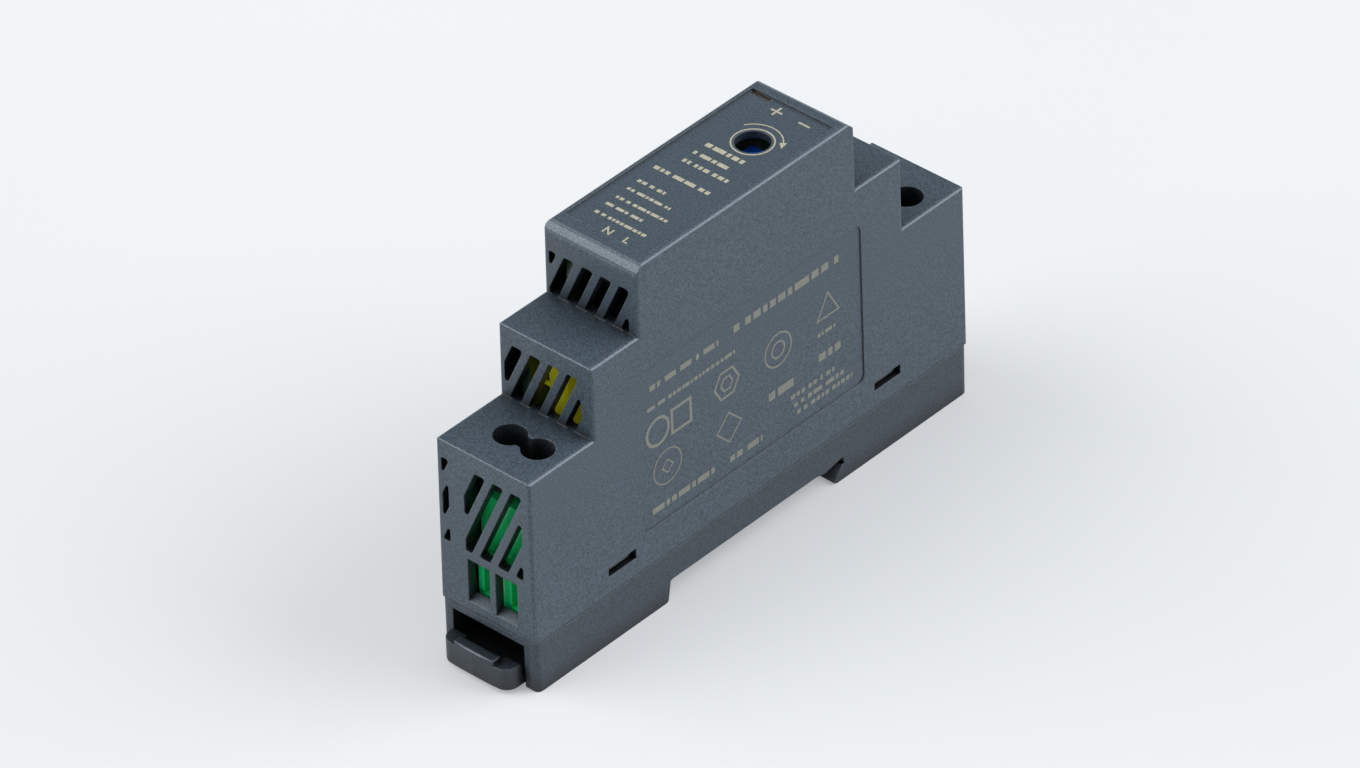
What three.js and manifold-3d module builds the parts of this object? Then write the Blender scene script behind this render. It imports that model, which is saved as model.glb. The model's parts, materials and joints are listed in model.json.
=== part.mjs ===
// One-module DIN rail power supply, modelled in millimetres.
// Origin: centre of the rail seat. +X is the width, towards the labelled side. +Y runs along the case,
// from the input terminals (-Y) to the output terminals (+Y). +Z points from the rail to the nose.
import * as THREE from 'three';
import { mergeVertices } from 'three/addons/utils/BufferGeometryUtils.js';
import Module from 'manifold-3d';

const wasm = await Module();
wasm.setup();

// ---- Driving dimensions ----
const HALF_WIDTH = 8.75;          // one 17.5 mm module
const HALF_LENGTH = 45;
const FOOT_Z = -3.5;              // underside of both feet
const SEAM_Z = 5;                 // joint between casing and base
const STEP_Z = 32;                // top of the terminal steps
const SHOULDER_Z = 43.9;          // top of the shoulders beside the nose
const NOSE_Z = 55.4;
const SHOULDER_HALF = 32;         // half length of the shoulders
const NOSE_HALF = 22.5;           // half of the 45 mm nose
const WALL = 1.55;
const SIDE_DRAFT = 0.3 / HALF_WIDTH / (NOSE_Z - SEAM_Z);
const END_DRAFT = 0.25 / HALF_LENGTH / (STEP_Z - SEAM_Z);
const GAP = 0.3;                  // clearance between neighbouring pieces

const PITCH = 5.08;               // terminal pole pitch
const POLE_MID_X = 1.4;
const POLE_X = [POLE_MID_X - PITCH / 2, POLE_MID_X + PITCH / 2];
const POLE_Y = 37.9;              // distance of the screws from the middle of the case

const PCB_BACK = -5.9;            // the circuit board stands upright beside the left wall
const PCB_FRONT = -4.3;
const MOUNT_X = PCB_FRONT + 0.2;  // components stand this far out from the board

const TRIM_X = 0.75;
const TRIM_Y = 10.05;

// ---- Materials ----
function material(color, roughness, metalness = 0) {
  return new THREE.MeshStandardMaterial({ color, roughness, metalness });
}

const GREY = [0x5a6670, 0.55];
const BASE_GREY = [0x4a5560, 0.55];
const GREEN = [0x0c8a3c, 0.4];
const STEEL = [0xb8bcc0, 0.35, 1];
const TINNED = [0xc8c8c4, 0.4, 1];
const BLACK = [0x1a1a1c, 0.5];
const BLUE = [0x1f4fa8, 0.4];
const FERRITE = [0x2b2a2c, 0.7];
const YELLOW = [0xd8c412, 0.45];
const COPPER = [0xb4682c, 0.3, 1];
const AMBER = [0x5a1c10, 0.2];
const BOARD = [0x2f5a34, 0.5];

// ---- Solids and booleans ----
function solid(geometry) {
  const bare = geometry.clone();
  bare.deleteAttribute('normal');
  bare.deleteAttribute('uv');
  const merged = mergeVertices(bare, 1e-5);
  return new wasm.Manifold(new wasm.Mesh({
    numProp: 3,
    vertProperties: new Float32Array(merged.attributes.position.array),
    triVerts: new Uint32Array(merged.index.array),
  }));
}

function geometryOf(manifold) {
  const { vertProperties, triVerts } = manifold.getMesh();
  const geometry = new THREE.BufferGeometry();
  geometry.setAttribute('position', new THREE.BufferAttribute(new Float32Array(vertProperties), 3));
  geometry.setIndex(new THREE.BufferAttribute(new Uint32Array(triVerts), 1));
  return geometry;
}

function join(...solids) {
  return solids.reduce((whole, next) => whole.add(next));
}

function cut(body, ...tools) {
  return tools.reduce((whole, tool) => whole.subtract(tool), body);
}

function box(x0, x1, y0, y1, z0, z1) {
  const geometry = new THREE.BoxGeometry(x1 - x0, y1 - y0, z1 - z0);
  geometry.translate((x0 + x1) / 2, (y0 + y1) / 2, (z0 + z1) / 2);
  return solid(geometry);
}

// A point may carry a corner radius as its third value and the arc's steps as its fourth.
function outline(points) {
  const result = [];
  points.forEach(([u, v, radius = 0, steps = 3], i) => {
    if (radius === 0) {
      result.push(new THREE.Vector2(u, v));
      return;
    }
    const corner = new THREE.Vector2(u, v);
    const before = new THREE.Vector2(...points.at(i - 1)).sub(corner).normalize();
    const after = new THREE.Vector2(...points[(i + 1) % points.length]).sub(corner).normalize();
    const halfAngle = Math.acos(THREE.MathUtils.clamp(before.dot(after), -1, 1)) / 2;
    const middle = before.clone().add(after).normalize().multiplyScalar(radius / Math.sin(halfAngle));
    const centre = corner.clone().add(middle);
    const start = corner.clone().addScaledVector(before, radius / Math.tan(halfAngle)).sub(centre);
    const sweep = Math.PI - 2 * halfAngle;
    const sign = Math.sign(before.cross(after)) * -1;
    for (let k = 0; k <= steps; k++) {
      const arm = start.clone().rotateAround(new THREE.Vector2(), sign * sweep * k / steps);
      result.push(arm.add(centre));
    }
  });
  return new THREE.Shape(result);
}

const TO_X = new THREE.Matrix4().set(0, 0, 1, 0, 1, 0, 0, 0, 0, 1, 0, 0, 0, 0, 0, 1);
const TO_Y = new THREE.Matrix4().set(1, 0, 0, 0, 0, 0, -1, 0, 0, 1, 0, 0, 0, 0, 0, 1);

function prism(points, length, turn, x, y, z) {
  const geometry = new THREE.ExtrudeGeometry(outline(points), { depth: length, bevelEnabled: false });
  geometry.applyMatrix4(turn);
  geometry.translate(x, y, z);
  return solid(geometry);
}

// A (y, z) outline swept along X.
function prismX(points, x0, x1) {
  return prism(points, x1 - x0, TO_X, x0, 0, 0);
}

// An (x, z) outline swept along Y.
function prismY(points, y0, y1) {
  return prism(points, y1 - y0, TO_Y, 0, y1, 0);
}

// An (x, y) outline swept along Z.
function prismZ(points, z0, z1) {
  return prism(points, z1 - z0, new THREE.Matrix4(), 0, 0, z0);
}

function rectangle(u0, u1, v0, v1, radius = 0, steps = 3) {
  return [[u0, v0, radius, steps], [u1, v0, radius, steps], [u1, v1, radius, steps], [u0, v1, radius, steps]];
}

// A box whose edges along X, Y and Z are rounded by rx, ry and rz.
function softBox(x0, x1, y0, y1, z0, z1, rx, ry = rx, rz = rx) {
  return prismX(rectangle(y0, y1, z0, z1, rx), x0, x1)
    .intersect(prismY(rectangle(x0, x1, z0, z1, ry), y0, y1))
    .intersect(prismZ(rectangle(x0, x1, y0, y1, rz), z0, z1));
}

function cylinderX(radius, x0, x1, y, z, sides = 20) {
  const geometry = new THREE.CylinderGeometry(radius, radius, x1 - x0, sides);
  geometry.rotateZ(Math.PI / 2);
  geometry.translate((x0 + x1) / 2, y, z);
  return solid(geometry);
}

function cylinderZ(radius, z0, z1, x, y, sides = 24) {
  const geometry = new THREE.CylinderGeometry(radius, radius, z1 - z0, sides);
  geometry.rotateX(Math.PI / 2);
  geometry.translate(x, y, (z0 + z1) / 2);
  return solid(geometry);
}

// A profile of (radius, height) pairs turned about the Z axis.
function turned(profile, sides = 24) {
  const geometry = new THREE.LatheGeometry(profile.map(([r, h]) => new THREE.Vector2(r, h)), sides);
  geometry.rotateX(Math.PI / 2);
  return geometry;
}

// Mould draft: the case narrows slightly towards the nose.
function drafted(manifold) {
  const geometry = geometryOf(manifold);
  const position = geometry.attributes.position;
  for (let i = 0; i < position.count; i++) {
    const rise = Math.max(0, position.getZ(i) - SEAM_Z);
    position.setX(i, position.getX(i) * (1 - SIDE_DRAFT * rise));
    position.setY(i, position.getY(i) * (1 - END_DRAFT * rise));
  }
  return solid(geometry);
}

const product = new THREE.Group();
product.name = 'din_rail_power_supply';

function addPiece(name, manifold, look) {
  const geometry = geometryOf(manifold);
  geometry.computeVertexNormals();
  const mesh = new THREE.Mesh(geometry, material(...look));
  mesh.name = name;
  product.add(mesh);
}

// ---- Casing ----
const LATTICE_SLOPE = 0.456;      // slots lean towards +X as they rise
const SLOT_WIDTH = 2;
const SLOT_PITCH = 3.35;
const SMALLEST_SLOT = 1;          // area in mm2 below which a clipped slot is left out

// The part of a polygon where sign * (coordinate - limit) is positive; axis 0 is x and axis 1 is z.
function clipped(points, axis, limit, sign) {
  const isKept = (point) => sign * (point[axis] - limit) >= 0;
  return points.flatMap((point, i) => {
    const next = points[(i + 1) % points.length];
    const kept = isKept(point) ? [point] : [];
    if (isKept(point) === isKept(next)) {
      return kept;
    }
    const t = (limit - point[axis]) / (next[axis] - point[axis]);
    const crossing = [0, 1].map((k) => THREE.MathUtils.lerp(point[k], next[k], t));
    return [...kept, crossing];
  });
}

// Gives each corner of a polygon a radius, smaller where its edges are short or the corner is sharp.
function withRoundCorners(points, radius) {
  return points.map((point, i) => {
    const corner = new THREE.Vector2(...point);
    const before = new THREE.Vector2(...points.at(i - 1)).sub(corner);
    const after = new THREE.Vector2(...points[(i + 1) % points.length]).sub(corner);
    const reach = 0.4 * Math.min(before.length(), after.length());
    const halfAngle = Math.acos(before.dot(after) / before.length() / after.length()) / 2;
    return [...point, Math.min(radius, reach * Math.tan(halfAngle)), 2];
  });
}

// Slanted ventilation slots, kept inside an (x, z) window in an end wall at y0..y1.
function grille([x0, x1, z0, z1], y0, y1, middleX) {
  const midZ = (z0 + z1) / 2;
  const height = (z1 - z0) / 2 + 1;
  const lean = LATTICE_SLOPE * height;
  const slots = [];
  for (let n = -4; n <= 4; n++) {
    const left = middleX + n * SLOT_PITCH - SLOT_WIDTH / 2;
    const right = left + SLOT_WIDTH;
    let points = [[left - lean, midZ - height], [right - lean, midZ - height],
      [right + lean, midZ + height], [left + lean, midZ + height]];
    points = clipped(points, 0, x0, 1);
    points = clipped(points, 0, x1, -1);
    points = clipped(points, 1, z0, 1);
    points = clipped(points, 1, z1, -1);
    const area = Math.abs(THREE.ShapeUtils.area(points.map(([x, z]) => new THREE.Vector2(x, z))));
    if (area > SMALLEST_SLOT) {
      slots.push(prismY(withRoundCorners(points, 0.35), y0 - 1, y1 + 1));
    }
  }
  return join(...slots);
}

const LOWER_WINDOW = [-3.65, 6.95, 15.1, 29.1];
const COLUMN_WINDOW = [-7.7, -6.5, 15.1, 29.1];
const SHOULDER_WINDOW = [-7.6, 6.45, STEP_Z, 41.1];
const NOSE_WINDOW = [-7.55, 6.9, SHOULDER_Z, 51.1];
const ENTRY_X = [[-3.45, 0.6], [1.65, 5.7]];
const ENTRY_Z = [6.5, 13.8];
const SNAP_Z = [7.8, 9.4];
const SNAP_Y = [[-30, -24.4], [25.15, 30.65]];
const ACCESS_RADIUS = 2.45;       // driver holes above the screws
const SHAFT_RADIUS = 2.85;        // shafts that lead a driver down to the screws
const SHAFT_Z = 23.8;
const RECESS = [-7.55, 7.2, -18.9, 19.4];
const LED_X = [-7.3, -3.9];
const LED_Y = [18.5, 19.3];

const TIERS = [                   // half length and top of each tier of the case, from the rail outwards
  [HALF_LENGTH, STEP_Z, 0.25],
  [SHOULDER_HALF, SHOULDER_Z, 0.25],
  [NOSE_HALF, NOSE_Z, 2],
];

// The stepped body of the case, shrunk by `inset` on every side.
function steppedBody(inset, edges) {
  const x = HALF_WIDTH - inset;
  const tiers = TIERS.map(([half, top, frontEdge]) => {
    const y = half - inset;
    const z = top - inset;
    const side = prismX([[-y, SEAM_Z - 2], [y, SEAM_Z - 2],
      [y, z, frontEdge * edges, 6], [-y, z, frontEdge * edges, 6]], -x, x);
    const end = prismY([[-x, SEAM_Z - 2], [x, SEAM_Z - 2],
      [x, z, 0.6 * edges, 3], [-x, z, 0.6 * edges, 3]], -y, y);
    const plan = prismZ(rectangle(-x, x, -y, y, 0.5 * edges, 3), SEAM_Z - 2, z);
    return side.intersect(end).intersect(plan);
  });
  return drafted(join(...tiers));
}

// A keyhole prism round both screws of one end: two lobes joined by a neck.
function keyhole(side, radius, neckHalf, z0, z1) {
  const y = side * POLE_Y;
  const lobes = POLE_X.map((x) => cylinderZ(radius, z0, z1, x, y, 32));
  return join(...lobes, box(POLE_X[0], POLE_X[1], y - neckHalf, y + neckHalf, z0, z1));
}

// Wire entry: a rectangular hole whose floor ramps up towards the terminal block.
function wireEntry([x0, x1], side) {
  const outer = HALF_LENGTH + 0.5;
  const inner = HALF_LENGTH - WALL - 0.5;
  const points = [[outer, ENTRY_Z[0] - 0.2], [outer, ENTRY_Z[1]], [inner, ENTRY_Z[1]], [inner, ENTRY_Z[0] + 1]];
  return prismX(points.map(([y, z]) => [side * y, z]), x0, x1);
}

// Guide ribs that hold the board's edges inside the end walls.
function boardGuide(side) {
  const wallY = side * (HALF_LENGTH - WALL + 0.2);
  const ribY = side * (HALF_LENGTH - WALL - 1.6);
  const y = [wallY, ribY].sort((a, b) => a - b);
  return box(PCB_FRONT + 0.2, PCB_FRONT + 0.5, y[0], y[1], 14.8, 29.5);
}

function makeCasing() {
  const below = box(-20, 20, -60, 60, SEAM_Z - 10, SEAM_Z);
  const outer = cut(steppedBody(0, 1), below);
  const hollow = steppedBody(WALL, 0);
  const labelRecess = drafted(prismX(rectangle(-22.9, 23.15, 10.8, 37.7, 1.2, 4), HALF_WIDTH - 0.2, HALF_WIDTH + 1));
  const noseRecess = prismZ(rectangle(...RECESS, 0.5, 2), NOSE_Z - 0.3, NOSE_Z + 1);
  const trimHole = cylinderZ(2.62, NOSE_Z - 4, NOSE_Z + 1, TRIM_X, TRIM_Y, 32);
  const ledHole = box(LED_X[0], LED_X[1], LED_Y[0], LED_Y[1], NOSE_Z - 2.2, NOSE_Z + 1);
  const shafts = [-1, 1].map((side) => keyhole(side, SHAFT_RADIUS, 1.9, SHAFT_Z, STEP_Z - WALL + 0.2));
  let casing = cut(join(outer.subtract(hollow), ...shafts, boardGuide(-1), boardGuide(1)),
    labelRecess, noseRecess, trimHole, ledHole);
  for (const side of [-1, 1]) {
    const endWall = [side * (HALF_LENGTH + 1), side * (HALF_LENGTH - WALL - 0.6)].sort((a, b) => a - b);
    const shoulderWall = [side * (SHOULDER_HALF + 1), side * (SHOULDER_HALF - WALL - 0.6)].sort((a, b) => a - b);
    const noseWall = [side * (NOSE_HALF + 1), side * (NOSE_HALF - WALL - 0.6)].sort((a, b) => a - b);
    casing = cut(casing,
      grille(LOWER_WINDOW, ...endWall, 2.98),
      grille(COLUMN_WINDOW, ...endWall, -7.07 + SLOT_PITCH),
      grille(SHOULDER_WINDOW, ...shoulderWall, -0.4),
      grille(NOSE_WINDOW, ...noseWall, 1.3),
      keyhole(side, ACCESS_RADIUS, 1.25, SHAFT_Z - 1, STEP_Z + 1),
      ...ENTRY_X.map((span) => wireEntry(span, side)));
  }
  for (const [y0, y1] of SNAP_Y) {
    casing = casing.subtract(box(-20, 20, y0, y1, ...SNAP_Z));
  }
  return casing;
}

// ---- Base ----
const SLOT_NEAR = -17.7;          // near wall of the rail slot
const POCKET_HALF = 6.6;          // latch pocket
const POCKET_TOP = 3.8;
const POCKET_END = -19;
const FLOOR = 1.5;

function makeBase() {
  const profile = [
    [-HALF_LENGTH, SEAM_Z],
    [-HALF_LENGTH, FOOT_Z, 0.5, 2],
    [-18.3, FOOT_Z, 0.5, 2],
    [SLOT_NEAR, 0, 0.4, 2],
    [12.6, 0],
    [14.4, -0.35, 0.8, 2],
    [18.25, 0.4],
    [18.5, -0.9],
    [18, -0.87],
    [16.1, -3.2, 0.25, 2],
    [17, FOOT_Z],
    [HALF_LENGTH, FOOT_Z, 0.5, 2],
    [HALF_LENGTH, SEAM_Z],
  ];
  const plan = prismZ(rectangle(-HALF_WIDTH, HALF_WIDTH, -HALF_LENGTH, HALF_LENGTH, 1.2, 4), FOOT_Z, SEAM_Z - 0.1);
  const inner = HALF_WIDTH - 1.6;
  let base = prismX(profile, -HALF_WIDTH - 1, HALF_WIDTH + 1).intersect(plan);
  base = cut(base,
    box(-inner, inner, -16, 16.2, FLOOR, SEAM_Z + 1),
    box(-inner, inner, 16.2, HALF_LENGTH - 1.6, FLOOR + 0.6, SEAM_Z + 1),
    box(-inner, inner, 20, HALF_LENGTH - 1.6, FOOT_Z + 1.5, SEAM_Z + 1),
    box(-POCKET_HALF, POCKET_HALF, -HALF_LENGTH - 1, POCKET_END, FOOT_Z - 1, POCKET_TOP),
    box(-POCKET_HALF, POCKET_HALF, POCKET_END - 1, SLOT_NEAR + 1, FOOT_Z - 1, -0.6));
  const ledge = [-1, 1].map((side) => {
    const x = [side * POCKET_HALF, side * (POCKET_HALF - 1)].sort((a, b) => a - b);
    return box(x[0], x[1], -42, -20.5, FOOT_Z, FOOT_Z + 0.55);
  });
  const springPost = box(-2.2, 2.2, -37, -35.5, -0.8, POCKET_TOP + 0.5);
  const arms = [];
  for (const [y0, y1] of SNAP_Y) {
    for (const side of [-1, 1]) {
      const arm = [[6.05, 2], [7.6, 2], [7.6, 4.9], [6.9, 4.9], [6.9, SNAP_Z[0] + 0.3], [7.9, SNAP_Z[0] + 0.3],
        [6.9, SNAP_Z[1] - 0.1], [6.9, 10.2], [6.05, 10.2]];
      const points = arm.map(([x, z]) => [side * x, z]);
      arms.push(prismY(points, y0 + GAP, y1 - GAP));
    }
  }
  return join(base, ...ledge, springPost, ...arms);
}

// ---- Latch and its return spring ----
const LATCH_TIP = -48.5;
const GRIP_BACK = -45.3;          // inner face of the finger grip
const GRIP_TOP = 0.8;
const SPRING_MID_Z = 1.1;
const SPRING_SPAN = [-35.4, -22.1];

function makeLatch() {
  const half = POCKET_HALF - GAP;
  const plate = box(-half, half, GRIP_BACK - 1, POCKET_END + 0.5, -2.7, -1.15);
  const nose = prismX([[POCKET_END, -2.7], [-17.4, -2.7], [-15.9, -1.5], [-15.9, -1.15], [POCKET_END, -1.15]],
    -half, half);
  const plan = prismZ([[-half, GRIP_BACK + 3], [-half, LATCH_TIP + 0.45, 2, 5], [0, LATCH_TIP],
    [half, LATCH_TIP + 0.45, 2, 5], [half, GRIP_BACK + 3]], -2.7, GRIP_TOP + 1);
  const lip = plan.intersect(prismX([[LATCH_TIP, -2.7, 0.4], [GRIP_BACK, -2.7], [GRIP_BACK, GRIP_TOP, 0.3],
    [LATCH_TIP, GRIP_TOP, 0.35]], -half, half));
  const hollow = box(-3.6, 3.7, GRIP_BACK - 1.4, GRIP_BACK + 1, -1.15, GRIP_TOP + 1);
  const ridge = plan.intersect(softBox(-3.6, 3.7, LATCH_TIP + 0.05, GRIP_BACK - 1.3, GRIP_TOP - 1, GRIP_TOP + 0.8,
    0.35, 0.25, 0.35));
  const stop = box(-2.2, 2.2, -38.8, -37.1, -1.5, 0.7);
  const springWall = box(-3, 3, -22, -20.4, -1.5, 2.9);
  const driverSlot = box(-2.6, 2.6, -42.2, -40.6, -3, -1.9);
  return cut(join(cut(lip, hollow), ridge, plate, nose, stop, springWall), driverSlot);
}

class SpringPath extends THREE.Curve {
  getPoint(t) {
    const turns = 7;
    const angle = 2 * Math.PI * turns * t;
    const y = THREE.MathUtils.lerp(SPRING_SPAN[0] + GAP, SPRING_SPAN[1] - GAP, t);
    return new THREE.Vector3(1.5 * Math.cos(angle), y, SPRING_MID_Z + 1.5 * Math.sin(angle));
  }
}

function makeSpring() {
  const section = outline(Array.from({ length: 6 }, (_, i) => {
    const angle = i * Math.PI / 3;
    return [0.22 * Math.cos(angle), 0.22 * Math.sin(angle)];
  }));
  return solid(new THREE.ExtrudeGeometry(section, { steps: 84, extrudePath: new SpringPath() }));
}

// ---- Terminals ----
const BLOCK_X = [-3.65, 6.55];
const BLOCK_Y = [33.8, 42.7];     // measured outwards from the middle of the case
const BLOCK_Z = [6, 23.4];
const WELL_HALF = 1.95;
const CAGE_HALF = 1.7;
const CAGE_Z = [7.3, 13.3];
const BAR_Z = [10.6, 11.3];

// Boxes given by their distance outwards from the middle, so the two ends mirror each other.
function outBox(side, x0, x1, out0, out1, z0, z1) {
  const y = [side * out0, side * out1].sort((a, b) => a - b);
  return box(x0, x1, y[0], y[1], z0, z1);
}

function makeBlock(side) {
  let block = join(
    outBox(side, BLOCK_X[0], BLOCK_X[1], BLOCK_Y[0], BLOCK_Y[1], BLOCK_Z[0], 14.6),
    outBox(side, BLOCK_X[0], BLOCK_X[1], BLOCK_Y[0] + 0.6, BLOCK_Y[1] - 1, 14, BLOCK_Z[1]));
  for (const x of POLE_X) {
    const y = side * POLE_Y;
    block = cut(block,
      box(x - WELL_HALF, x + WELL_HALF, y - WELL_HALF, y + WELL_HALF, 6.8, 19.4),
      cylinderZ(1.45, 19, BLOCK_Z[1] + 1, x, y, 20),
      cylinderZ(2.05, 21.1, BLOCK_Z[1] + 1, x, y, 24),
      outBox(side, x - 1.45, x + 1.45, POLE_Y, BLOCK_Y[1] + 1, 7.1, 13.9),
      outBox(side, x - 1.2, x + 1.2, BLOCK_Y[0] - 1, POLE_Y, BAR_Z[0] - GAP, BAR_Z[1] + GAP));
  }
  return block;
}

function makeCage(x, side) {
  const y = side * POLE_Y;
  const body = box(x - CAGE_HALF, x + CAGE_HALF, y - CAGE_HALF, y + CAGE_HALF, ...CAGE_Z);
  const window = box(x - 1.3, x + 1.3, y - 3, y + 3, CAGE_Z[0] + 0.7, CAGE_Z[1] - 1.5);
  const thread = cylinderZ(1.35, CAGE_Z[0] + 2, CAGE_Z[1] + 1, x, y, 16);
  return cut(body, window, thread);
}

function makeScrew(x, side) {
  const y = side * POLE_Y;
  const head = turned([[0, 21.2], [1.8, 21.2], [1.8, 22.2], [1.5, 22.6], [0, 22.6]]);
  head.translate(x, y, 0);
  const shank = cylinderZ(1.2, BAR_Z[1] + 0.15, 21.4, x, y, 16);
  const slot = box(x - 2, x + 2, y - 0.25, y + 0.25, 21.9, 23);
  return cut(join(solid(head), shank), slot);
}

function makeContact(x, side, tailOut) {
  const bar = outBox(side, x - 1, x + 1, tailOut, POLE_Y + 1.6, ...BAR_Z);
  const tail = outBox(side, PCB_BACK - 0.5, x + 1, tailOut - 0.5, tailOut + 0.1, ...BAR_Z);
  return join(bar, tail);
}

// ---- Circuit board and its components ----
const boardHoles = [];            // [y, z, radius]

// A straight lead through the board, with its hole.
function lead(y, z, from = MOUNT_X + 0.5, radius = 0.32) {
  boardHoles.push([y, z, radius + 0.2]);
  return cylinderX(radius, PCB_BACK - 0.5, from, y, z, 8);
}

function leads(points, from) {
  return points.map(([y, z]) => lead(y, z, from));
}

function boxOnBoard(depth, y0, y1, z0, z1, round, points) {
  return join(softBox(MOUNT_X, MOUNT_X + depth, y0, y1, z0, z1, round), ...leads(points));
}

// Filter capacitor behind the shoulder grille, standing clear of the board on its two leads.
function makeFilterCapacitor() {
  const body = softBox(-2.4, 1.2, -29.1, -20.3, 28, 38.7, 1);
  return join(body, ...leads([[-27.4, 33.4], [-22, 33.4]], -1.9));
}

// A disc standing on its edge on two leads, its faces towards -Z and +Z.
function discOnBoard(radius, thickness, y, z) {
  const half = thickness / 2;
  const rim = radius * 0.82;
  const disc = turned([[0, -half], [rim, -half], [radius, -half * 0.4], [radius, half * 0.4], [rim, half], [0, half]], 20);
  disc.translate(MOUNT_X + radius + 0.3, y, z);
  const feet = [[y - radius * 0.6, z], [y + radius * 0.6, z]];
  return join(solid(disc), ...leads(feet, MOUNT_X + radius));
}

// A radial electrolytic capacitor lying along Y, its leads bent down to the board at the end y0.
function capacitorAlongY(radius, y0, y1, z) {
  const x = MOUNT_X + radius;
  const length = y1 - y0;
  const can = turned([[0, 0], [radius - 0.5, 0], [radius, 0.5], [radius, 1.4], [radius - 0.35, 1.9], [radius, 2.4],
    [radius, length - 0.4], [radius - 0.4, length], [0, length]], 28);
  can.rotateX(-Math.PI / 2);
  can.translate(x, y0, z);
  const legs = [-1.8, 1.8].map((dz) => join(
    box(x - 0.3, x + 0.3, y0 - 1.5, y0 + 0.3, z + dz - 0.3, z + dz + 0.3),
    lead(y0 - 1.2, z + dz, x + 0.2)));
  return join(solid(can), ...legs);
}

function uprightCylinder(radius, height, y, z, points) {
  return join(cylinderX(radius, MOUNT_X, MOUNT_X + height, y, z, 28), ...leads(points));
}

const CORE_Y = [-7.4, 9.4];
const CORE_Z = [21, 38.6];
const CORE_MID_Y = 1;

function makeTransformerCore() {
  const core = box(-1.4, 3.6, ...CORE_Y, ...CORE_Z);
  const windows = [[-5, -1.4], [3.4, 7]].map(([y0, y1]) => box(-5, 8, y0, y1, CORE_Z[0] + 3.2, CORE_Z[1] - 3.2));
  return cut(core, ...windows);
}

// Bobbin with its taped winding round the middle leg of the core.
function makeTransformerWinding() {
  const leg = box(-1.7, 3.9, -1.7, 3.7, 20, 40);
  const coil = prismZ(rectangle(-3.4, 6.3, -4.7, 6.7, 1.4, 3), 25, 34.6);
  const flanges = [[24.5, 25.5], [34.1, 35.1]].map(([z0, z1]) => box(-3.8, 6.7, -4.7, 6.7, z0, z1));
  const pins = leads([[-3.4, 25], [1, 25], [5.4, 25], [-3.4, 34.6], [1, 34.6], [5.4, 34.6]], -3);
  return cut(join(coil, ...flanges, ...pins), leg);
}

const CHOKE = [1.3, -23.2, 21.8]; // centre of the common-mode choke

function makeChokeCore() {
  const profile = [[2.2, -2], [4.2, -2], [4.2, 2], [2.2, 2], [2.2, -2]];
  const ring = new THREE.LatheGeometry(profile.map(([r, h]) => new THREE.Vector2(r, h)), 24);
  ring.translate(...CHOKE);
  return solid(ring);
}

// One winding of the choke: turns fanned about one side of the ring, with two leads.
function makeChokeWinding(side) {
  const turns = [-2, -1, 0, 1, 2].map((n) => {
    const wire = new THREE.BoxGeometry(3.4, 5.6, 1);
    const hole = new THREE.BoxGeometry(2.35, 4.35, 3);
    for (const geometry of [wire, hole]) {
      geometry.translate(3.2, 0, 0);
      geometry.rotateY(n * 0.36 - side * Math.PI / 2);
      geometry.translate(...CHOKE);
    }
    return solid(wire).subtract(solid(hole));
  });
  const z = CHOKE[2] + side * 4;
  return join(...turns, ...leads([[CHOKE[1] - 2.5, z], [CHOKE[1] + 2.5, z]], CHOKE[0]));
}

const TRIM_BODY_TOP = 51.5;

function makeTrimmerBody() {
  const body = softBox(TRIM_X - 3.3, TRIM_X + 3.3, TRIM_Y - 3.3, TRIM_Y + 3.3, 46.7, TRIM_BODY_TOP, 0.3);
  const seat = cylinderZ(2.1, TRIM_BODY_TOP - 1, TRIM_BODY_TOP + 1, TRIM_X, TRIM_Y, 24);
  const pins = leads([[TRIM_Y - 2.1, 48], [TRIM_Y + 2.1, 48], [TRIM_Y, 50]], TRIM_X - 3);
  return join(cut(body, seat), ...pins);
}

function makeTrimmerRotor() {
  const rotor = turned([[0, TRIM_BODY_TOP - 0.8], [1.9, TRIM_BODY_TOP - 0.8], [1.9, TRIM_BODY_TOP + 0.5],
    [1.7, TRIM_BODY_TOP + 0.7], [0, TRIM_BODY_TOP + 0.7]], 24);
  rotor.translate(TRIM_X, TRIM_Y, 0);
  const slots = [[1.4, 0.3], [0.3, 1.4]].map(([dx, dy]) => box(TRIM_X - dx, TRIM_X + dx, TRIM_Y - dy, TRIM_Y + dy,
    TRIM_BODY_TOP, TRIM_BODY_TOP + 2));
  return cut(solid(rotor), ...slots);
}

// Light pipe: a lens in the nose slot on a flange that stops behind the top wall.
function makeLightPipe() {
  const lens = box(LED_X[0] + 0.1, LED_X[1] - 0.1, LED_Y[0] + 0.1, LED_Y[1] - 0.1, 53.3, NOSE_Z - 0.35);
  const flange = box(-6.6, -2.8, LED_Y[0] - 0.8, LED_Y[1] + 0.8, 52.6, 53.6);
  return join(lens, flange);
}

const CONTACT_OUT = [33, 31.9];   // distance of each pole's solder tail from the middle

function makeBoard() {
  const end = 42.6;
  const board = prismX([[-end, 5.4], [-15.2, 5.4], [-15.2, 2.4], [end, 2.4], [end, 29.9], [30.2, 29.9], [30.2, 41.8],
    [20.7, 41.8], [20.7, 52.2], [-20.7, 52.2], [-20.7, 41.8], [-30.2, 41.8], [-30.2, 29.9], [-end, 29.9]],
  PCB_BACK, PCB_FRONT);
  const round = boardHoles.map(([y, z, radius]) => cylinderX(radius, PCB_BACK - 1, PCB_FRONT + 1, y, z, 8));
  const tails = [-1, 1].flatMap((side) => CONTACT_OUT.map((out) => outBox(side, PCB_BACK - 1, PCB_FRONT + 1,
    out - 0.7, out + 0.3, BAR_Z[0] - 0.2, BAR_Z[1] + 0.2)));
  return cut(board, ...round, ...tails);
}

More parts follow.
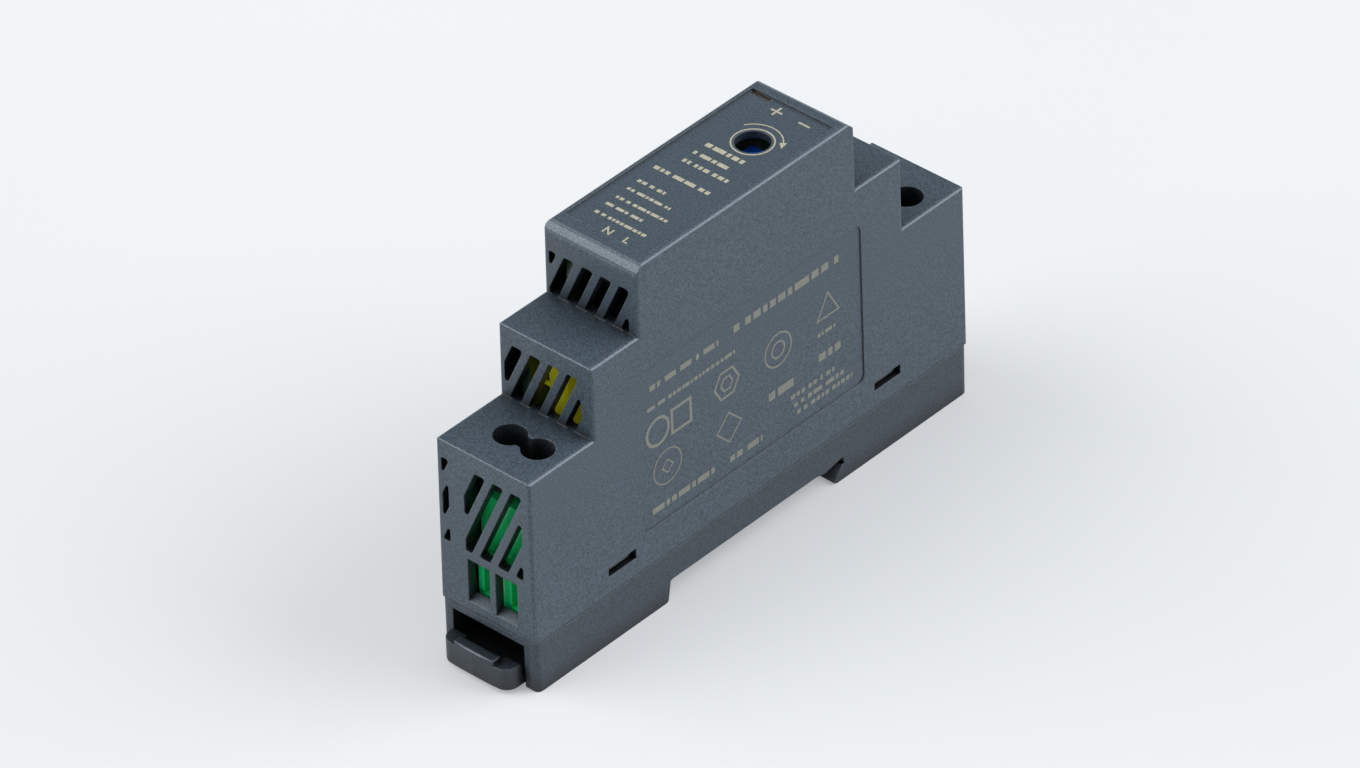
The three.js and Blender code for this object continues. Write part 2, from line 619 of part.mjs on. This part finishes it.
// ---- Assembly ----
addPiece('casing', makeCasing(), GREY);
addPiece('base', makeBase(), BASE_GREY);
addPiece('rail_latch', makeLatch(), GREY);
addPiece('latch_spring', makeSpring(), STEEL);
addPiece('led_light_pipe', makeLightPipe(), AMBER);

for (const [side, end] of [[-1, 'input'], [1, 'output']]) {
  addPiece(`${end}_terminal_block`, makeBlock(side), GREEN);
  POLE_X.forEach((x, i) => {
    addPiece(`${end}_clamp_cage_${i + 1}`, makeCage(x, side), TINNED);
    addPiece(`${end}_screw_${i + 1}`, makeScrew(x, side), STEEL);
    addPiece(`${end}_contact_${i + 1}`, makeContact(x, side, CONTACT_OUT[i]), TINNED);
  });
}

addPiece('fuse', uprightCylinder(4.2, 8, -27, 10.4, [[-29.4, 11.3], [-24.6, 11.3]]), BLACK);
addPiece('varistor', discOnBoard(3.8, 3.6, -12.1, 30), BLUE);
addPiece('inrush_thermistor', discOnBoard(3.2, 3.4, -15.4, 47.4), BLACK);
addPiece('x_capacitor', makeFilterCapacitor(), YELLOW);
addPiece('choke_core', makeChokeCore(), FERRITE);
addPiece('choke_winding_1', makeChokeWinding(1), COPPER);
addPiece('choke_winding_2', makeChokeWinding(-1), COPPER);
addPiece('bridge_rectifier', boxOnBoard(3.1, -19, -10.8, 17.6, 23.8, 0.3,
  [[-17.4, 18.6], [-12.4, 18.6], [-17.4, 22.8], [-12.4, 22.8]]), BLACK);
addPiece('bulk_capacitor', capacitorAlongY(5.2, -20, 0.5, 10.9), BLACK);
addPiece('transformer_core', makeTransformerCore(), FERRITE);
addPiece('transformer_winding', makeTransformerWinding(), YELLOW);
addPiece('switching_transistor', boxOnBoard(4.5, -8.4, 1.6, 42.4, 51, 0.3,
  [[-5.9, 43.4], [-3.4, 43.4], [-0.9, 43.4]]), BLACK);
addPiece('controller_chip', boxOnBoard(1.7, 2.6, 7.6, 6.2, 10.2, 0.2,
  [[3.2, 6.9], [7, 6.9], [3.2, 9.5], [7, 9.5]]), BLACK);
addPiece('optocoupler', boxOnBoard(3.6, 2.8, 7.4, 12.6, 19, 0.3,
  [[3.8, 13.4], [6.4, 13.4], [3.8, 18.2], [6.4, 18.2]]), BLACK);
addPiece('y_capacitor', discOnBoard(3.2, 2.8, 25, 38.2), BLUE);
addPiece('output_diode', boxOnBoard(4.5, 13, 22.4, 26.2, 35, 0.3, [[15.2, 27.2], [17.7, 27.2], [20.2, 27.2]]), BLACK);
addPiece('output_capacitor_1', capacitorAlongY(4.2, 13.2, 29.2, 10.4), BLACK);
addPiece('output_capacitor_2', capacitorAlongY(4.2, 13.2, 29.2, 19.7), BLACK);
addPiece('output_inductor', uprightCylinder(3.5, 9, 26.2, 29.2, [[24.4, 29.2], [28, 29.2]]), FERRITE);
addPiece('trimmer_body', makeTrimmerBody(), BLUE);
addPiece('trimmer_rotor', makeTrimmerRotor(), BLUE);
addPiece('status_led', softBox(-4.25, -3, 17.9, 19.9, 50.2, 51.8, 0.2), AMBER);
addPiece('circuit_board', makeBoard(), BOARD);

export default product;
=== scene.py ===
import json
import math
import random

import bmesh
import bpy
from mathutils import Matrix, Vector


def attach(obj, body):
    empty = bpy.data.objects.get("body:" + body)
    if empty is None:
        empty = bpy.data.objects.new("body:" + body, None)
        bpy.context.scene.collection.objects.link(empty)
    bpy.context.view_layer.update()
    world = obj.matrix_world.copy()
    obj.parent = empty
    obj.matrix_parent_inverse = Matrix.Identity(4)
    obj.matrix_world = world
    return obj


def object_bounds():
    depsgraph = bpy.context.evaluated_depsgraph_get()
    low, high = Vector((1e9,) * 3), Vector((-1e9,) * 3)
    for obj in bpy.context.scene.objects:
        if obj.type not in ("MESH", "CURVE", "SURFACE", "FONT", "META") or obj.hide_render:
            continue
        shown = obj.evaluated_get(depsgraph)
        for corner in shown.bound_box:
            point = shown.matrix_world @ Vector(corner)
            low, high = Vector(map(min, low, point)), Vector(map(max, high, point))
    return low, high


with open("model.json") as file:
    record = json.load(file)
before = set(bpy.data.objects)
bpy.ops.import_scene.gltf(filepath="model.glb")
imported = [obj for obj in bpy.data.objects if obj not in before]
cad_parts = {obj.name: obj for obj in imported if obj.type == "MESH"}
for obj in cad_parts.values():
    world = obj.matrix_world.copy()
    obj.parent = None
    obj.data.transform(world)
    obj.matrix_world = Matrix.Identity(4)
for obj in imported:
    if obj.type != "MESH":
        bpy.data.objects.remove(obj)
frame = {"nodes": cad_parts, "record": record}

# ---- Frame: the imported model's box, before anything is added ----
CAD_LO, CAD_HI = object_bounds()
MM = 0.001

SMOOTH_LIMIT = 40                    # degrees: edges flatter than this are shaded smooth
GRAIN_DEPTH = 0.00005                # relief of the spark-eroded grain, in metres
EDGE_RADIUS = 0.00026                # radius that the shading gives to sharp case edges, in metres
EDGE_HIGHLIGHT = (0.165, 0.205, 0.245)    # painted highlight: colour of the case plastic on its rounded edges

INK_LOW, INK_HIGH = 0.004, 0.022     # ink layer above the recess floor, in mm
NOSE_FLOOR = 55.1                    # height of the nose recess floor, in mm
SIDE_FLOOR = 8.55                    # distance of the side recess floor from the middle, in mm
SIDE_DRAFT = 0.3 / 8.75 / 50.4       # mould draft of the sides, per mm above the seam
SEAM_Z = 5                           # height of the joint between casing and base, in mm
HOLE_X, HOLE_Y = 0.75, 10.05         # middle of the adjuster hole, in mm
DASH_SHARE = 0.62                    # height of a dash as a share of its row
scene = bpy.context.scene
rng = random.Random(7)


# ---- Camera: long lens from the near, printed side ----
def place_camera():
    azimuth, elevation, roll = (math.radians(a) for a in (43.01, 36.79, -1.83))
    distance = 1.4113
    target = Vector((1.17, -6.47, 23.58)) * MM
    back = Vector((math.sin(azimuth) * math.cos(elevation), -math.cos(azimuth) * math.cos(elevation),
                   math.sin(elevation)))
    right = Vector((math.cos(azimuth), math.sin(azimuth), 0))
    up = back.cross(right)
    turned_right = right * math.cos(roll) + up * math.sin(roll)
    turned_up = up * math.cos(roll) - right * math.sin(roll)
    data = bpy.data.cameras.new("camera")
    data.lens = 272.4
    data.sensor_width = 36
    data.clip_start = 0.05
    data.clip_end = 20
    camera = bpy.data.objects.new("camera", data)
    scene.collection.objects.link(camera)
    axes = Matrix((turned_right, turned_up, back)).transposed()
    camera.matrix_world = Matrix.Translation(target + back * distance) @ axes.to_4x4()
    scene.camera = camera


# ---- Studio ----
def soft_sun(name, direction, spread, strength, colour):
    data = bpy.data.lights.new(name, "SUN")
    data.energy = strength
    data.angle = math.radians(spread)
    data.color = colour
    light = bpy.data.objects.new(name, data)
    scene.collection.objects.link(light)
    light.rotation_euler = Vector(direction).normalized().to_track_quat("Z", "Y").to_euler()


def light_studio():
    """Three wide suns and a dim sky, so that shadows stay soft and pale."""
    world = bpy.data.worlds.new("studio")
    scene.world = world
    world.use_nodes = True
    background = world.node_tree.nodes["Background"]
    background.inputs["Color"].default_value = (0.80, 0.92, 1.0, 1)
    background.inputs["Strength"].default_value = 0.16
    soft_sun("key_left_front", (-0.545, -0.60, 0.584), 62, 1.75, (1, 0.99, 0.97))
    soft_sun("fill_right_back", (0.60, 0.58, 0.55), 50, 1.9, (0.97, 0.985, 1))
    soft_sun("overhead", (0.05, 0.1, 1), 120, 0.95, (1, 1, 1))
    scene.view_settings.view_transform = "Standard"
    scene.view_settings.look = "None"


# ---- Materials ----
def new_material(name):
    material = bpy.data.materials.new(name)
    material.use_nodes = True
    tree = material.node_tree
    return material, tree, tree.nodes["Principled BSDF"]


def noise(tree, scale, detail=3.0, roughness=0.55, stretch=(1, 1, 1)):
    coords = tree.nodes.new("ShaderNodeTexCoord")
    mapping = tree.nodes.new("ShaderNodeMapping")
    mapping.inputs["Scale"].default_value = stretch
    tree.links.new(coords.outputs["Object"], mapping.inputs["Vector"])
    texture = tree.nodes.new("ShaderNodeTexNoise")
    texture.inputs["Scale"].default_value = scale
    texture.inputs["Detail"].default_value = detail
    texture.inputs["Roughness"].default_value = roughness
    tree.links.new(mapping.outputs["Vector"], texture.inputs["Vector"])
    return texture.outputs["Fac"]


def ramp(tree, value, stops):
    node = tree.nodes.new("ShaderNodeValToRGB")
    elements = node.color_ramp.elements
    while len(elements) < len(stops):
        elements.new(0.5)
    for element, (position, colour) in zip(elements, stops):
        element.position = position
        element.color = (*colour, 1)
    tree.links.new(value, node.inputs["Fac"])
    return node.outputs["Color"]


def to_range(tree, value, low, high):
    node = tree.nodes.new("ShaderNodeMapRange")
    node.inputs["From Min"].default_value = 0.3
    node.inputs["From Max"].default_value = 0.7
    node.inputs["To Min"].default_value = low
    node.inputs["To Max"].default_value = high
    tree.links.new(value, node.inputs["Value"])
    return node.outputs["Result"]


def mix(tree, mode, factor, a, b):
    node = tree.nodes.new("ShaderNodeMix")
    node.data_type = "RGBA"
    node.blend_type = mode
    for value, name in ((factor, 0), (a, 6), (b, 7)):
        if isinstance(value, bpy.types.NodeSocket):
            tree.links.new(value, node.inputs[name])
        elif name == 0:
            node.inputs[name].default_value = value
        else:
            node.inputs[name].default_value = (*value, 1)
    return node.outputs[2]


def bump(tree, height, strength, distance, below=None):
    node = tree.nodes.new("ShaderNodeBump")
    node.inputs["Strength"].default_value = strength
    node.inputs["Distance"].default_value = distance
    tree.links.new(height, node.inputs["Height"])
    if below is not None:
        tree.links.new(below, node.inputs["Normal"])
    return node.outputs["Normal"]


def bevel_normal(tree, radius):
    node = tree.nodes.new("ShaderNodeBevel")
    node.samples = 6
    node.inputs["Radius"].default_value = radius
    return node.outputs["Normal"]


def edge_mask(tree, softened):
    """1 on edges that the bevel normal rounds off and that face upwards, 0 on flats."""
    geometry = tree.nodes.new("ShaderNodeNewGeometry")
    dot = tree.nodes.new("ShaderNodeVectorMath")
    dot.operation = "DOT_PRODUCT"
    tree.links.new(softened, dot.inputs[0])
    tree.links.new(geometry.outputs["Normal"], dot.inputs[1])
    return product(tree, remap(tree, dot.outputs["Value"], 0.99, 0.80), upwards(tree, softened))


def upwards(tree, normal):
    split = tree.nodes.new("ShaderNodeSeparateXYZ")
    tree.links.new(normal, split.inputs[0])
    return remap(tree, split.outputs["Z"], 0.15, 0.5)


def product(tree, a, b):
    node = tree.nodes.new("ShaderNodeMath")
    node.operation = "MULTIPLY"
    tree.links.new(a, node.inputs[0])
    tree.links.new(b, node.inputs[1])
    return node.outputs[0]


def rounded_edge_mask(tree):
    """1 where the surface turns between the object's main directions, as on a moulded radius."""
    coords = tree.nodes.new("ShaderNodeTexCoord")
    absolute = tree.nodes.new("ShaderNodeVectorMath")
    absolute.operation = "ABSOLUTE"
    tree.links.new(coords.outputs["Normal"], absolute.inputs[0])
    split = tree.nodes.new("ShaderNodeSeparateXYZ")
    tree.links.new(absolute.outputs["Vector"], split.inputs[0])
    largest = split.outputs["X"]
    for axis in ("Y", "Z"):
        node = tree.nodes.new("ShaderNodeMath")
        node.operation = "MAXIMUM"
        tree.links.new(largest, node.inputs[0])
        tree.links.new(split.outputs[axis], node.inputs[1])
        largest = node.outputs[0]
    return product(tree, remap(tree, largest, 0.985, 0.84), upwards(tree, coords.outputs["Normal"]))


def openness(tree, distance, closed, opened):
    """0 deep in a slot or inside the case, 1 on open faces, judged within the distance in metres."""
    node = tree.nodes.new("ShaderNodeAmbientOcclusion")
    node.samples = 6
    node.inputs["Distance"].default_value = distance
    return remap(tree, node.outputs["AO"], closed, opened)


def remap(tree, value, zero_at, one_at):
    node = tree.nodes.new("ShaderNodeMapRange")
    node.inputs["From Min"].default_value = zero_at
    node.inputs["From Max"].default_value = one_at
    tree.links.new(value, node.inputs["Value"])
    return node.outputs["Result"]


def shade(colour, factor):
    return tuple(min(1, c * factor) for c in colour)


def spark_plastic(name, colour, rough=0.45, grain=4300, speckle=0.5, strength=0.45, reach=0.006,
                  edge=EDGE_HIGHLIGHT):
    """Moulded plastic with a spark-eroded grain, with a painted highlight on its upper edges and painted
    shade in its hollows.
    """
    material, tree, shader = new_material(name)
    fine = noise(tree, grain, 2.0, 0.6)
    broad = noise(tree, 45, 3.0)
    tone = ramp(tree, broad, [(0.3, shade(colour, 0.96)), (0.7, shade(colour, 1.04))])
    speck = ramp(tree, fine, [(0.36, (1 - speckle,) * 3), (0.64, (1 + speckle,) * 3)])
    grained = mix(tree, "MULTIPLY", 1.0, tone, speck)
    rounded = rounded_edge_mask(tree)
    # pale is the painted highlight colour, speckled by the grain
    pale = mix(tree, "MULTIPLY", 0.6, edge, speck)
    # rounded edges that face upwards take the painted highlight
    edge_highlighted = mix(tree, "MIX", rounded, grained, pale)
    softened = bevel_normal(tree, EDGE_RADIUS)
    # edges that the bevel normal rounds off and that face upwards take the painted highlight as well
    wear_and_highlight = mix(tree, "MIX", edge_mask(tree, softened), edge_highlighted, pale)
    # painted shade: slots, hollows and the inside of the case are darkened towards near black where the
    # ambient occlusion is low
    hollow = mix(tree, "MIX", openness(tree, reach, 0.46, 0.76), shade(colour, 0.04), wear_and_highlight)
    tree.links.new(hollow, shader.inputs["Base Color"])
    tree.links.new(to_range(tree, fine, rough - 0.06, rough + 0.08), shader.inputs["Roughness"])
    tree.links.new(bump(tree, fine, strength, GRAIN_DEPTH, softened), shader.inputs["Normal"])
    return material


def smooth_plastic(name, colour, rough=0.3, coat=0.0, glow=0.0):
    """Glossy moulding or dipped coating with faint flow marks and a painted highlight on its upper edges."""
    material, tree, shader = new_material(name)
    flow = noise(tree, 260, 4.0, 0.6, (1, 1, 0.4))
    broad = noise(tree, 90, 2.0)
    tone = ramp(tree, broad, [(0.3, shade(colour, 0.86)), (0.7, shade(colour, 1.1))])
    softened = bevel_normal(tree, 0.00015)
    # painted highlight: upward-facing rounded edges are lightened
    wear_and_highlight = mix(tree, "MIX", edge_mask(tree, softened), tone, shade(colour, 1.35))
    tree.links.new(wear_and_highlight, shader.inputs["Base Color"])
    tree.links.new(to_range(tree, flow, rough - 0.05, rough + 0.12), shader.inputs["Roughness"])
    shader.inputs["Coat Weight"].default_value = coat
    # painted glow: a glow above zero makes the moulding give off light in its own colour though it is no
    # lamp
    shader.inputs["Emission Color"].default_value = (*colour, 1)
    shader.inputs["Emission Strength"].default_value = glow
    tree.links.new(bump(tree, flow, 0.18, 0.00004, softened), shader.inputs["Normal"])
    return material


def metal(name, colour, rough=0.3, stretch=(1, 1, 30)):
    """Plated metal with drawn or brushed lines and dulled patches."""
    material, tree, shader = new_material(name)
    lines = noise(tree, 500, 4.0, 0.6, stretch)
    patches = noise(tree, 380, 3.0)
    tone = ramp(tree, patches, [(0.3, shade(colour, 0.72)), (0.62, colour)])
    tree.links.new(tone, shader.inputs["Base Color"])
    shader.inputs["Metallic"].default_value = 1.0
    tree.links.new(to_range(tree, patches, rough + 0.16, rough - 0.05), shader.inputs["Roughness"])
    tree.links.new(bump(tree, lines, 0.25, 0.00002), shader.inputs["Normal"])
    return material


def ink(name, colour):
    """Pad-printed ink: matt, slightly thin in places, with a ragged tone."""
    material, tree, shader = new_material(name)
    grain = noise(tree, 5200, 3.0, 0.65)
    patches = noise(tree, 300, 3.0)
    tone = ramp(tree, grain, [(0.34, shade(colour, 0.62)), (0.55, colour)])
    wear_and_highlight = mix(tree, "MULTIPLY", 0.5, tone, (0.85, 0.88, 0.92))
    patchy = mix(tree, "MIX", to_range(tree, patches, 0.0, 0.6), tone, wear_and_highlight)
    tree.links.new(patchy, shader.inputs["Base Color"])
    tree.links.new(to_range(tree, grain, 0.5, 0.7), shader.inputs["Roughness"])
    tree.links.new(bump(tree, grain, 0.3, 0.00001), shader.inputs["Normal"])
    return material


def make_materials():
    case = (0.053, 0.076, 0.101)
    return {
        "case_plastic": spark_plastic("case_plastic", case),
        "base_plastic": spark_plastic("base_plastic", shade(case, 0.66), strength=0.3),
        "latch_plastic": spark_plastic("latch_plastic", shade(case, 0.52), 0.4, strength=0.3, reach=0.012),
        "spring_steel": metal("spring_steel", (0.55, 0.56, 0.57), 0.25, (30, 1, 30)),
        "amber_lens": smooth_plastic("amber_lens", (0.022, 0.009, 0.007), 0.18, 0.3),
        "terminal_green": smooth_plastic("terminal_green", (0.012, 0.70, 0.20), 0.3, 0.2),
        "black_epoxy": spark_plastic("black_epoxy", (0.02, 0.02, 0.022), 0.5, 3500, edge=(0.04, 0.04, 0.04)),
        "blue_coating": smooth_plastic("blue_coating", (0.02, 0.09, 0.42), 0.25, 0.4),
        # the yellow box carries a faint painted glow
        "yellow_box": smooth_plastic("yellow_box", (0.86, 0.84, 0.02), 0.35, glow=0.07),
        "ferrite": spark_plastic("ferrite", (0.03, 0.028, 0.03), 0.62, 2500, edge=(0.06, 0.06, 0.06)),
        "copper": smooth_plastic("copper", (0.42, 0.14, 0.035), 0.22, 0.6),
        "capacitor_sleeve": smooth_plastic("capacitor_sleeve", (0.012, 0.012, 0.018), 0.3),
        "yellow_tape": smooth_plastic("yellow_tape", (0.72, 0.52, 0.015), 0.3),
        "trimmer_blue": smooth_plastic("trimmer_blue", (0.008, 0.11, 0.75), 0.3),
        "board_laminate": smooth_plastic("board_laminate", (0.008, 0.045, 0.015), 0.35, 0.3),
        "screw_steel": metal("screw_steel", (0.56, 0.57, 0.58), 0.28),
        "tinned_metal": metal("tinned_metal", (0.66, 0.66, 0.63), 0.3),
    }


def smooth_by_angle_group(limit):
    """Geometry nodes that shade smooth across every edge flatter than the limit."""
    group = bpy.data.node_groups.new("smooth_by_angle", "GeometryNodeTree")
    group.interface.new_socket("Geometry", in_out="INPUT", socket_type="NodeSocketGeometry")
    group.interface.new_socket("Geometry", in_out="OUTPUT", socket_type="NodeSocketGeometry")
    nodes, links = group.nodes, group.links
    source, target = nodes.new("NodeGroupInput"), nodes.new("NodeGroupOutput")
    all_smooth = nodes.new("GeometryNodeSetShadeSmooth")
    sharp_edges = nodes.new("GeometryNodeSetShadeSmooth")
    sharp_edges.domain = "EDGE"
    sharp_edges.inputs["Shade Smooth"].default_value = False
    angle = nodes.new("GeometryNodeInputMeshEdgeAngle")
    is_sharp = nodes.new("FunctionNodeCompare")
    is_sharp.operation = "GREATER_THAN"
    is_sharp.inputs["B"].default_value = math.radians(limit)
    links.new(source.outputs["Geometry"], all_smooth.inputs["Geometry"])
    links.new(all_smooth.outputs["Geometry"], sharp_edges.inputs["Geometry"])
    links.new(angle.outputs["Unsigned Angle"], is_sharp.inputs["A"])
    links.new(is_sharp.outputs["Result"], sharp_edges.inputs["Selection"])
    links.new(sharp_edges.outputs["Geometry"], target.inputs["Geometry"])
    return group


def dress_nodes(materials):
    """Gives each CAD node the material of its slot and smooths its shading."""
    slots = {part["node"]: part["material_slot"] for part in frame["record"]["subparts"]}
    smoothing = smooth_by_angle_group(SMOOTH_LIMIT)
    for name, node in frame["nodes"].items():
        node.data.materials.clear()
        node.data.materials.append(materials[slots[name]])
        node.modifiers.new("smooth_by_angle", "NODES").node_group = smoothing


# ---- Printed marks ----
def bar(u0, u1, v0, v1):
    return [[(u0, v0), (u1, v0), (u1, v1), (u0, v1)]]


def strokes(points, width):
    """Overlap-free quads along a polyline, mitred at its corners."""
    closed = points[0] == points[-1]
    path = [Vector(p) for p in (points[:-1] if closed else points)]
    count = len(path)
    sides = []
    for i, point in enumerate(path):
        ahead = path[(i + 1) % count] if closed or i < count - 1 else point * 2 - path[i - 1]
        behind = path[i - 1] if closed or i > 0 else point * 2 - ahead
        first, second = (point - behind).normalized(), (ahead - point).normalized()
        along = (first + second).normalized()
        reach = width / 2 / max(0.3, along.dot(first))
        normal = Vector((-along.y, along.x)) * reach
        sides.append((point + normal, point - normal))
    last = count if closed else count - 1
    return [[tuple(sides[i][1]), tuple(sides[(i + 1) % count][1]),
             tuple(sides[(i + 1) % count][0]), tuple(sides[i][0])] for i in range(last)]


def polygon_ring(cu, cv, radius, sides, width, turn=0.0):
    points = [(cu + radius * math.cos(turn + 2 * math.pi * i / sides),
               cv + radius * math.sin(turn + 2 * math.pi * i / sides)) for i in range(sides)]
    return strokes(points + points[:1], width)


def arc(cu, cv, radius, start, end, width, steps=20):
    angles = [math.radians(start + (end - start) * i / steps) for i in range(steps + 1)]
    return strokes([(cu + radius * math.cos(a), cv + radius * math.sin(a)) for a in angles], width)


def dashes(u0, u1, v0, v1):
    """A row of plain dashes of mixed lengths, standing for a line of text."""
    height = (v1 - v0) * DASH_SHARE
    middle = (v0 + v1) / 2
    result = []
    u = u0
    while u < u1 - 0.3:
        length = min(rng.choice((0.45, 0.6, 0.75, 1.5)) * (v1 - v0), u1 - u)
        result += bar(u, u + length, middle - height / 2, middle + height / 2)
        u += length + (v1 - v0) * rng.choice((0.25, 0.25, 0.25, 0.6))
    return result


def ink_piece(name, faces, place, material):
    """Thin closed prisms. place maps (u, v, height above the recess floor) to the object, all in mm."""
    mesh = bpy.data.meshes.new(name)
    builder = bmesh.new()
    for face in faces:
        area = sum(a[0] * b[1] - b[0] * a[1] for a, b in zip(face, face[1:] + face[:1]))
        corners = face if area > 0 else face[::-1]
        low = [builder.verts.new(Vector(place(u, v, INK_LOW)) * MM) for u, v in corners]
        high = [builder.verts.new(Vector(place(u, v, INK_HIGH)) * MM) for u, v in corners]
        builder.faces.new(high)
        builder.faces.new(low[::-1])
        for i in range(len(corners)):
            j = (i + 1) % len(corners)
            builder.faces.new((low[i], low[j], high[j], high[i]))
    builder.to_mesh(mesh)
    builder.free()
    piece = bpy.data.objects.new(name, mesh)
    scene.collection.objects.link(piece)
    mesh.materials.append(material)
    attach(piece, "housing")
    return piece


def on_nose(u, v, height):
    return (u, v, NOSE_FLOOR + height)


def on_side(u, v, height):
    """The floor of the side recess leans with the mould draft."""
    return (SIDE_FLOOR * (1 - SIDE_DRAFT * (v - SEAM_Z)) + height, u, v)


def nose_marks():
    faces = polygon_ring(HOLE_X, HOLE_Y, 3.05, 48, 0.24)
    faces += arc(HOLE_X, HOLE_Y, 4.2, 148, 36, 0.2)
    tip, foot = math.radians(17), math.radians(36)
    faces += [[(HOLE_X + r * math.cos(a), HOLE_Y + r * math.sin(a))
               for r, a in ((4.25, tip), (4.72, foot), (3.68, foot))]]
    return faces


def nose_letters():
    plus_u, minus_u, sign_v = -1.5, 3.5, 17.5
    faces = bar(plus_u - 1, plus_u + 1, sign_v - 0.17, sign_v + 0.17)
    faces += bar(plus_u - 0.17, plus_u + 0.17, sign_v + 0.18, sign_v + 1)
    faces += bar(plus_u - 0.17, plus_u + 0.17, sign_v - 1, sign_v - 0.18)
    faces += bar(minus_u - 1, minus_u + 1, sign_v - 0.17, sign_v + 0.17)
    low, high = -18.55, -17.25
    faces += strokes([(-1.05, low), (-1.05, high), (0.05, low), (0.05, high)], 0.26)
    faces += strokes([(2.62, high), (2.62, low + 0.13), (3.4, low + 0.13)], 0.26)
    return faces


def nose_rows():
    """Each row is (left, right, bottom, top) in mm on the nose."""
    rows = ((-3.8, 3.1, 4.9, 6.3), (-3.9, 2.6, 2.6, 3.8), (-3.8, 4.9, 0.3, 1.5), (-5.7, 4.8, -3.4, -2.2),
            (-5.3, 0.2, -7.1, -6.1), (-5.2, 2.6, -9.3, -8.4), (-5.0, 4.5, -11.7, -10.8),
            (-5.1, 1.5, -13.7, -12.8), (-5.0, 4.2, -16.0, -15.1))
    return [face for row in rows for face in dashes(*row)]


def side_rows():
    """Each row is (left, right, bottom, top) in mm on the side."""
    rows = ((-20.3, -6.3, 33.3, 34.8), (-3.2, 18.8, 33.4, 35.4), (-20.9, -3.0, 30.2, 31.2),
            (13.9, 18.5, 18.7, 20.7), (3.5, 8.9, 17.8, 20.0), (8.0, 18.0, 15.7, 16.9),
            (8.6, 19.6, 14.1, 15.3), (9.2, 20.8, 12.6, 13.8), (-4.7, 2.0, 12.3, 13.9),
            (-20.6, -7.4, 12.5, 14.1), (13.8, 18.4, 23.1, 24.1))
    return [face for row in rows for face in dashes(*row)]


def side_shapes():
    faces = polygon_ring(-19.0, 26.2, 2.2, 32, 0.5)
    faces += polygon_ring(-14.2, 26.2, 2.7, 4, 0.5, math.pi / 4)
    faces += polygon_ring(-4.9, 26.3, 2.5, 6, 0.35)
    faces += polygon_ring(-4.9, 26.3, 1.2, 6, 0.3)
    faces += polygon_ring(5.7, 26.0, 2.7, 32, 0.3)
    faces += polygon_ring(5.7, 26.0, 1.3, 32, 0.3)
    faces += polygon_ring(16.1, 27.3, 2.6, 3, 0.28, math.pi / 2)
    faces += polygon_ring(-17.3, 19.4, 2.8, 36, 0.22)
    faces += polygon_ring(-17.3, 19.4, 1.1, 4, 0.22)
    faces += polygon_ring(-4.7, 18.7, 2.5, 4, 0.25)
    return faces


def print_marks():
    bright = ink("nose_ink", (0.52, 0.50, 0.38))
    faded = ink("side_ink", (0.24, 0.245, 0.21))
    ink_piece("adjuster_ring_and_arrow", nose_marks(), on_nose, bright)
    ink_piece("polarity_and_line_letters", nose_letters(), on_nose, bright)
    ink_piece("nose_text_dashes", nose_rows(), on_nose, bright)
    ink_piece("side_text_dashes", side_rows(), on_side, faded)
    ink_piece("side_plain_symbols", side_shapes(), on_side, faded)


# ---- Floor ----
def make_floor():
    mesh = bpy.data.meshes.new("floor")
    builder = bmesh.new()
    bmesh.ops.create_grid(builder, x_segments=8, y_segments=8, size=3)
    builder.to_mesh(mesh)
    builder.free()
    floor = bpy.data.objects.new("floor", mesh)
    floor.location.z = CAD_LO[2] - 0.00002
    scene.collection.objects.link(floor)
    material, tree, shader = new_material("floor_paper")
    tone = ramp(tree, noise(tree, 6, 2.0), [(0.3, (0.53, 0.54, 0.55)), (0.7, (0.55, 0.56, 0.57))])
    tree.links.new(tone, shader.inputs["Base Color"])
    shader.inputs["Emission Color"].default_value = (0.95, 0.98, 1, 1)
    shader.inputs["Emission Strength"].default_value = 0.31
    shader.inputs["Roughness"].default_value = 0.7
    shader.inputs["Specular IOR Level"].default_value = 0.2
    mesh.materials.append(material)


place_camera()
light_studio()
make_floor()
materials = make_materials()
dress_nodes(materials)
print_marks()
